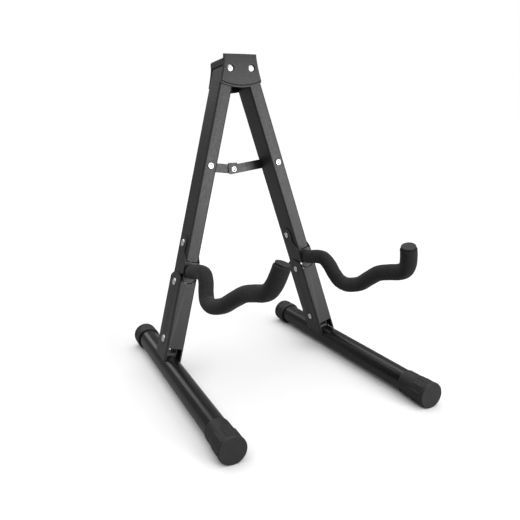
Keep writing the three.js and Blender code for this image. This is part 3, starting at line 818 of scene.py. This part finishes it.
def foot_tube(name):
    front = -(FOOT_FRONT - CAP_END_WALL - 0.3)
    rear = FOOT_REAR - CAP_END_WALL - 0.3
    inner = TUBE_RADIUS - WALL
    ring = [(inner, front), (TUBE_RADIUS, front)]
    ring += [(TUBE_RADIUS, front + (rear - front) * k / 12) for k in range(1, 12)]
    ring += [(TUBE_RADIUS, rear), (inner, rear)]
    return shade(lathe(name, ring, "y", 128), 40)


def finely(outline, step):
    """The same profile with points about `step` mm apart along it, for a radius rule to work on."""
    fine = []
    for (r0, q0), (r1, q1) in zip(outline, outline[1:]):
        steps = max(1, int((q1 - q0) / step))
        fine += [(r0 + (r1 - r0) * k / steps, q0 + (q1 - q0) * k / steps) for k in range(steps)]
    return fine + [outline[-1]]


def standing(shape):
    """Wraps a radius rule so that the cap ends in a flat at floor level."""
    def rule(radius, along, angle):
        r = shape(radius, along, angle)
        down = -math.sin(angle)
        return min(r, AXIS_HEIGHT / down) if down > 0.5 else r
    return rule


def with_bore(outside, length):
    bore = TUBE_RADIUS + 0.2
    inside = [(bore + 0.35, length), (bore, length - 0.4), (bore, CAP_END_WALL), (0, CAP_END_WALL)]
    return [(0, 0)] + outside + inside


def front_foot_cap(name):
    """Rubber ferrule: smooth sleeve, flare with twelve fine ridges, bevelled rim, flat end."""
    rim = [(14.1, 0), (15, 1.0), (15, 3.2), (14.45, 3.8)]
    outside = softened(rim + [(14.45, 18), (13.75, 26), (13.6, FRONT_CAP_LENGTH)], 0.6, 4, False)
    outside = [(4, 0), (9, 0.02), (13.4, 0)] + finely(outside, 0.6) + [(13.45, FRONT_CAP_LENGTH)]
    profile = with_bore(outside, FRONT_CAP_LENGTH)
    ridges = 12

    def shape(radius, along, angle):
        if radius < TUBE_RADIUS + 0.8 or not 3.8 < along < 24:
            return radius
        pitch = 2 * math.pi / ridges
        off = ((angle / pitch) % 1 - 0.5) * pitch * radius
        rise = min(max((along - 3.8) / 1.0, 0), 1) * min(max((21 - along) / 2.0, 0), 1)
        lobe = 0.15 * rise * (1 - math.cos(2 * math.pi * off / (pitch * radius))) / 2
        ridge = 0.62 * rise * math.exp(-((off / 0.55) ** 2))
        return min(radius - lobe + ridge, CAP_RADIUS)

    cap = lathe(name, profile, "y", 288, standing(shape))
    moved(cap, placed(0, -FOOT_FRONT, 0))
    return shade(cap, 32)


def rear_foot_cap(name):
    """Short stepped cap: rounded end, a groove, a band of shallow pockets, and a lip."""
    outside = [(11.6, 0.15), (13.2, 0.8), (14.3, 2.1), (14.75, 4), (14.75, 6.6), (13.95, 6.9), (13.95, 8.3)]
    outside += [(14.75, 8.6), (14.75, 15.4), (14.2, 15.8), (14.2, 16.6), (15, 17.0)]
    outside += [(15, REAR_CAP_LENGTH - 1.6), (14.6, REAR_CAP_LENGTH - 0.5), (13.9, REAR_CAP_LENGTH)]
    outside = [(5, 0), (9.5, 0.02)] + finely(outside, 0.5) + [(13.4, REAR_CAP_LENGTH)]
    profile = with_bore(outside, REAR_CAP_LENGTH)
    pockets = 10

    def shape(radius, place, angle):
        along = -place
        if radius < TUBE_RADIUS + 0.9 or not 9.4 <= along <= 14.4:
            return radius
        turn = (angle / (2 * math.pi) * pockets) % 1
        inside = min((turn - 0.16) / 0.03, (0.84 - turn) / 0.03, (along - 9.4) / 0.5, (14.4 - along) / 0.5)
        return radius - 0.5 * min(max(inside, 0), 1)

    cap = lathe(name, [(r, -along) for r, along in profile], "y", 240, standing(shape))
    moved(cap, placed(0, FOOT_REAR, 0))
    return shade(cap, 32)


# ---- spreader, drawn about each strap's leg rivet ------------------------------------------------

def strap_outline(side, reach, square):
    inward = -side
    turn = Vector((math.cos(STRAP_ANGLE) * inward, -math.sin(STRAP_ANGLE)))
    start = math.degrees(math.atan2(turn.y, turn.x))
    far = turn * reach
    if square:
        across_end = Vector((-turn.y, turn.x)) * STRAP_HALF_WIDTH
        corner = turn * 1.2
        end = [tuple(far - across_end - corner), tuple(far - across_end * 0.8), tuple(far + across_end * 0.8),
               tuple(far + across_end - corner)]
    else:
        end = arc(far.x, far.y, STRAP_HALF_WIDTH, start - 90, start + 90, 28)
    return end + arc(0, 0, STRAP_HALF_WIDTH, start + 90, start + 270, 28)


def strap(name, side):
    front = RIGHT_STRAP_FRONT if side > 0 else LEFT_STRAP_FRONT
    reach = STRAP_LENGTH + (STRAP_OVERRUN if side > 0 else 0)
    plate = prism(name, strap_outline(side, reach, side > 0), forward, front - STRAP_THICKNESS, front)
    middle_x = -side * SPREADER_HALF_SPAN
    if side > 0:
        low = -STRAP_DROP + STRAP_HALF_WIDTH + STRAP_OVERRUN * math.tan(STRAP_ANGLE) + 0.6
        left = middle_x - STRAP_OVERRUN + 0.3
        ear = softened([
            (left, -STRAP_DROP), (middle_x + 6.4, -STRAP_DROP), (middle_x + 5, low + 1), (left, low + 1),
        ], 0.8)
        root = prism("root", ear, forward, front - STRAP_THICKNESS, front)
        bent = prism("tab", [(left, low), (middle_x - 3.4, low), (middle_x - 3.4, low + 1), (left, low + 1)],
                     forward, LEFT_STRAP_FRONT - STRAP_THICKNESS, front - 0.1)
        joined(plate, root, bent)
    holes = [moved(cylinder(HOLE_RADIUS, -40, 40, "y", 48), placed(x, 0, z))
             for x, z in ((0, 0), (middle_x, -STRAP_DROP))]
    cut(plate, *holes)
    return eased(plate, 0.22)


def centre_rivet(name, facing_front):
    if facing_front:
        seat = RIGHT_STRAP_FRONT + 0.15
        profile = [(0, seat - STRAP_THICKNESS), (SHANK_RADIUS, seat - STRAP_THICKNESS), (SHANK_RADIUS, seat)]
        tail = rolled_tail(seat, 1)
        profile += [(r, max(a, seat - STRAP_THICKNESS + 0.2)) for r, a in tail]
    else:
        seat = LEFT_STRAP_FRONT - STRAP_THICKNESS - 0.15
        profile = [(0, seat - 1.4), (2.2, seat - 1.3), (3.2, seat - 0.9), (3.7, seat - 0.3), (3.7, seat)]
        profile = softened(profile, 0.4, 4, closed=False)
        profile += [(SHANK_RADIUS, seat), (SHANK_RADIUS, seat + STRAP_THICKNESS), (0, seat + STRAP_THICKNESS)]
    rivet = lathe(name, profile, "y", 56)
    moved(rivet, turned(math.pi, "X"))
    return shade(rivet, 40)


# ---- head, drawn about the middle between the pins -----------------------------------------------

def bezier(a, b, c, t):
    return a * (1 - t) ** 2 + 2 * b * t * (1 - t) + c * t * t


def apron_outline(bottom, top=APRON_TOP, steps=20):
    """Straight top, hollow sides that flare out, and a bowed bottom edge."""
    corner = bottom + APRON_BOW
    right, floor = [], []
    for k in range(steps + 1):
        t = k / steps
        x = bezier(APRON_TOP_HALF, APRON_WAIST, APRON_HALF, t)
        right.append((x, bezier(top, APRON_WAIST_UP, corner, t)))
    for k in range(1, 2 * steps):
        x = APRON_HALF * (1 - k / steps)
        floor.append((x, bottom + APRON_BOW * (x / APRON_HALF) ** 2))
    left = [(-x, z) for x, z in reversed(right)]
    return right + floor + left


def crowned_plate(name, bottom, back, front, edge=1.1, columns=64, rows=52):
    """The head's front plate: an apron with a softly domed face and a rolled edge."""
    corner = bottom + APRON_BOW

    def spread(count):
        return [0.5 - 0.5 * math.cos(math.pi * k / count) for k in range(count + 1)]

    def spot(u, t):
        width = bezier(APRON_HALF, APRON_WAIST, APRON_TOP_HALF, t)
        level = bezier(corner, APRON_WAIST_UP, APRON_TOP, t)
        x = u * width
        z = level - APRON_BOW * (1 - u * u) * (1 - t) ** 1.5
        inside = min((1 - abs(u)) * width, (1 - t) * 34, t * 34)
        roll = edge - math.sqrt(max(edge ** 2 - max(edge - inside, 0) ** 2, 0))
        crown = 0.55 * u * u + 0.5 * (2 * t - 1) ** 2 + 0.35 * max(0.35 - t, 0) ** 2 / 0.1225
        return x, z, front - roll - crown

    bm = bmesh.new()
    us = [2 * v - 1 for v in spread(columns)]
    ts = spread(rows)
    face = [[bm.verts.new([v * MM for v in forward(*spot(u, t))]) for u in us] for t in ts]
    rear = [[bm.verts.new([v * MM for v in forward(*spot(u, t)[:2], back)]) for u in us] for t in ts]
    for grid in (face, rear):
        for low, high in zip(grid, grid[1:]):
            for i in range(columns):
                bm.faces.new((low[i], low[i + 1], high[i + 1], high[i]))
    border = [(0, i) for i in range(columns)] + [(j, columns) for j in range(rows)]
    border += [(rows, i) for i in range(columns, 0, -1)] + [(j, 0) for j in range(rows, 0, -1)]
    for (j0, i0), (j1, i1) in zip(border, border[1:] + border[:1]):
        bm.faces.new((face[j0][i0], face[j1][i1], rear[j1][i1], rear[j0][i0]))
    return piece_from(name, bm)


def pin_bores(radius, back, front):
    bores = []
    for side in SIDES.values():
        bore = moved(cylinder(radius, -front, -back, "y", 64), placed(side * PIN_HALF_SPACING, 0, 0))
        bores.append(bore)
    return bores


def head_front_cover(name):
    """Domed plate over a thin inner shell; the shell's lip shows below a dark joint line."""
    plate = crowned_plate(name, PLATE_BOTTOM, PLATE_STEP - 0.4, PLATE_FRONT)
    shell = prism("shell", apron_outline(LIP_BOTTOM), forward, PLATE_BACK, PLATE_STEP)
    lip = prism("lip", lip_outline(LIP_BOTTOM + 0.05, 1.1), forward, PLATE_STEP - 0.2, PLATE_STEP + 1.2)
    joined(plate, shell, lip)
    cheeks = []
    for side in SIDES.values():
        cheek = [(side * 26.5, -15.4), (side * 25.75, -15.4), (side * 23.9, -8.5), (side * 24.3, -8.0)]
        cheeks.append(prism("cheek", cheek, forward, 12.5, PLATE_STEP - 0.2))
    joined(plate, *cheeks)
    cut(plate, *pin_bores(SCREW_RECESS_RADIUS, PLATE_STEP, PLATE_FRONT + 2))
    cut(plate, *pin_bores(SCREW_HOLE_RADIUS, 0, PLATE_FRONT + 2))
    return eased(plate, 0.22, 50)


def lip_outline(bottom, height):
    """The thin bowed strip under the plate."""
    half, steps = 25.9, 40
    low, high = [], []
    for k in range(steps + 1):
        x = -half + 2 * half * k / steps
        z = bottom + APRON_BOW * (x / APRON_HALF) ** 2
        low.append((x, z))
        high.append((x, z + height))
    return low + high[::-1]


def head_rear_cover(name):
    """Roof with short skirts over the leg tops, and a hanging rear apron."""
    deep, eave, chamfer, inner = 17.2, 22, 1.6, 20.9
    roof = prism(name, [
        (-eave, SKIRT_BOTTOM), (eave, SKIRT_BOTTOM), (eave, ROOF_TOP - chamfer), (eave - chamfer, ROOF_TOP),
        (chamfer - eave, ROOF_TOP), (-eave, ROOF_TOP - chamfer),
    ], forward, REAR_PLATE_BACK, deep)
    hollow = [(-inner, 3), (inner, 3), (inner, 10), (-inner, 10)]
    cut(roof, prism("inside", hollow, forward, -PLATE_BACK, 30))
    outline = apron_outline(REAR_APRON_BOTTOM, top=ROOF_TOP - 0.8)
    joined(roof, prism("apron", outline, forward, REAR_PLATE_BACK, -PLATE_BACK))
    cut(roof, *pin_bores(SCREW_HOLE_RADIUS, REAR_PLATE_BACK - 1, -10))
    return eased(roof, 0.5, 38, 3)


def pivot_screw(name):
    """Pan head with a cross recess, in front; the thread's end shows behind the nut."""
    seat = PLATE_STEP + 0.15
    profile = [(0, REAR_PLATE_BACK - 5.2), (2.1, REAR_PLATE_BACK - 5.2), (2.5, REAR_PLATE_BACK - 4.8)]
    turns = 7
    for k in range(turns):
        a = REAR_PLATE_BACK - 4.6 + 0.8 * k
        profile += [(2.5, a), (2.15, a + 0.4)]
    profile += [(2.5, REAR_PLATE_BACK + 1.4), (2.5, seat), (4.1, seat), (4.1, seat + 0.35)]
    profile += [(3.85, seat + 0.85), (3.1, seat + 1.2), (1.8, seat + 1.38), (0, seat + 1.42)]
    screw = lathe(name, profile, "y", 64)
    w, a = 0.36, 1.7  # half the slot's width, and its reach
    cross = [
        (-a, -w), (-w, -w), (-w, -a), (w, -a), (w, -w), (a, -w),
        (a, w), (w, w), (w, a), (-w, a), (-w, w), (-a, w),
    ]
    slot = prism("slot", cross, forward, -seat - 3, -seat - 0.5)
    cut(screw, moved(slot, turned(0.5, "Y")))
    moved(screw, turned(math.pi, "X"))
    return shade(screw, 35)


def pivot_nut(name):
    corners = arc(0, 0, 4.6, 30, 330, 5)
    low, high = REAR_PLATE_BACK - 4.2, REAR_PLATE_BACK - 0.2
    nut = prism(name, corners, forward, low, high)
    middle = (low + high) / 2
    cone = [(0, low - 0.01), (4.0, low - 0.01), (4.9, middle - 1.2)]
    cone += [(4.9, middle + 1.2), (4.0, high + 0.01), (0, high + 0.01)]
    kept(nut, moved(lathe("cone", cone, "y", 64), turned(math.pi, "X")))
    cut(nut, moved(cylinder(2.75, low - 2, high + 2, "y", 48), turned(math.pi, "X")))
    return eased(nut, 0.12, 30)


def pivot_bush(name):
    reach = LEG_HALF_DEPTH
    inner, outer = SCREW_HOLE_RADIUS, BUSH_RADIUS
    ring = softened([(inner, -reach), (outer, -reach), (outer, reach), (inner, reach)], 0.25, 3)
    return shade(lathe(name, ring, "y", 48), 40)


# ---- assembly --------------------------------------------------------------------------------------

def add(node, slot, place, make, *facts):
    return stand_in(make(node + "_finished", *facts), node, slot, place)


for word, side in SIDES.items():
    leg, foot = leg_frame(side), foot_frame(side)
    add(word + "_upper_leg", "black_leg", leg, upper_leg)
    add(word + "_lower_leg", "black_leg", leg, lower_leg)
    add(word + "_arm_bracket", "black_leg", leg, arm_bracket)
    add(word + "_arm_rod", "black_leg", leg, arm_rod)
    add(word + "_foot_saddle", "black_leg", leg, foot_saddle)
    sleeve = add(word + "_arm_foam", "arm_foam", leg, arm_foam)
    add(word + "_arm_end_plug", "end_plug", leg, arm_end_plug)
    heads_out = turned(0 if side > 0 else math.pi, "Z")
    for rivet, at, grip in (
        ("_arm_rivet", ARM_RIVET_AT, BRACKET_OUTSIDE),
        ("_knee_rivet", KNEE_RIVET_AT, LOWER_OUTSIDE),
        ("_foot_rivet", FOOT_RIVET_AT, LOWER_OUTSIDE),
    ):
        add(word + rivet, "rivet_steel", leg @ placed(0, 0, at) @ heads_out, cross_rivet, grip)
    strap_front = RIGHT_STRAP_FRONT if side > 0 else LEFT_STRAP_FRONT
    add(word + "_spreader_rivet", "rivet_steel", leg, spreader_rivet, strap_front)
    add(word + "_foot_tube", "gloss_black_tube", foot, foot_tube)
    add(word + "_front_foot_cap", "foot_cap", foot, front_foot_cap)
    add(word + "_rear_foot_cap", "foot_cap", foot, rear_foot_cap)
    pin = HEAD_FRAME @ placed(side * PIN_HALF_SPACING, 0, 0)
    add(word + "_pivot_screw", "zinc_hardware", pin, pivot_screw)
    add(word + "_pivot_nut", "zinc_hardware", pin, pivot_nut)
    add(word + "_pivot_bush", "zinc_hardware", pin, pivot_bush)
    hung = STRAP_FRAME @ placed(side * SPREADER_HALF_SPAN, 0, 0)
    add("spreader_" + word + "_strap", "black_strap", hung, strap, side)

add("left_spreader_spacer", "zinc_hardware", leg_frame(-1), spreader_spacer)
middle_pin = STRAP_FRAME @ placed(0, 0, -STRAP_DROP)
add("centre_rivet_front", "rivet_steel", middle_pin, centre_rivet, True)
add("centre_rivet_back", "rivet_steel", middle_pin, centre_rivet, False)
add("head_front_cover", "head_plastic", HEAD_FRAME, head_front_cover)
add("head_rear_cover", "head_plastic", HEAD_FRAME, head_rear_cover)


# ---- studio ----------------------------------------------------------------------------------------

def floor():
    """Pale to the camera, but it throws only a little light back up at the stand."""
    paint = Paint("studio_floor", 0.9, Specular_IOR_Level=0.0)
    pale = paint.colour(paint.grain(60, 3), (0.96, 0.96, 0.96), (0.98, 0.98, 0.98))
    seen = paint.add("ShaderNodeLightPath").outputs["Is Camera Ray"]
    mix = paint.add("ShaderNodeMix", data_type="RGBA")
    paint.link(seen, mix.inputs["Factor"])
    mix.inputs["A"].default_value = (0.34, 0.34, 0.34, 1)
    paint.link(pale, mix.inputs["B"])
    paint.set("Base Color", mix.outputs["Result"])
    bm = bmesh.new()
    reach = 9
    corners = [(-reach, -reach), (reach, -reach), (reach, reach), (-reach, reach)]
    bm.faces.new([bm.verts.new((x, y, 0)) for x, y in corners])
    ground = piece_from("floor", bm)
    ground.data.materials.append(paint.material)


def soft_light(name, energy, size, place, target=(0, 0, 0.18)):
    lamp = bpy.data.lights.new(name, "AREA")
    lamp.energy = energy
    lamp.shape = "RECTANGLE"
    lamp.size, lamp.size_y = size
    light = bpy.data.objects.new(name, lamp)
    light.location = place
    light.rotation_euler = (Vector(target) - Vector(place)).to_track_quat("-Z", "Y").to_euler()
    bpy.context.scene.collection.objects.link(light)


def overhead(name, strength, spread):
    """Even light from straight above, as from a large diffuser `spread` degrees wide."""
    lamp = bpy.data.lights.new(name, "SUN")
    lamp.energy = strength
    lamp.angle = math.radians(spread)
    bpy.context.scene.collection.objects.link(bpy.data.objects.new(name, lamp))


def surroundings(level):
    """A white backdrop to the camera that lights the stand only by `level`."""
    world = bpy.data.worlds.new("studio")
    world.use_nodes = True
    tree = world.node_tree
    background = tree.nodes["Background"]
    background.inputs["Color"].default_value = (1, 1, 1, 1)
    seen = tree.nodes.new("ShaderNodeLightPath").outputs["Is Camera Ray"]
    strength = tree.nodes.new("ShaderNodeMapRange")
    strength.inputs["To Min"].default_value = level
    strength.inputs["To Max"].default_value = 1
    tree.links.new(seen, strength.inputs["Value"])
    tree.links.new(strength.outputs["Result"], background.inputs["Strength"])
    bpy.context.scene.world = world


def camera():
    data = bpy.data.cameras.new("camera")
    data.sensor_width = 36
    data.lens = 42.2
    data.clip_start, data.clip_end = 0.01, 50
    eye = bpy.data.objects.new("camera", data)
    bpy.context.scene.collection.objects.link(eye)
    turn, down, roll = math.radians(-26.88), math.radians(-15.2), math.radians(0.11)
    eye.matrix_world = (
        placed(-320, -604.7, 330.8) @ turned(turn, "Z") @ turned(math.pi / 2 + down, "X") @ turned(roll, "Z")
    )
    bpy.context.scene.camera = eye


camera()
floor()
surroundings(0.22)
soft_light("key", 44, (1.1, 1.1), (0.95, -2.0, 0.36))
overhead("sky", 2.6, 100)
soft_light("rim", 2.4, (0.6, 0.9), (-0.45, 2.2, 1.1))
bpy.context.scene.view_settings.view_transform = "Standard"
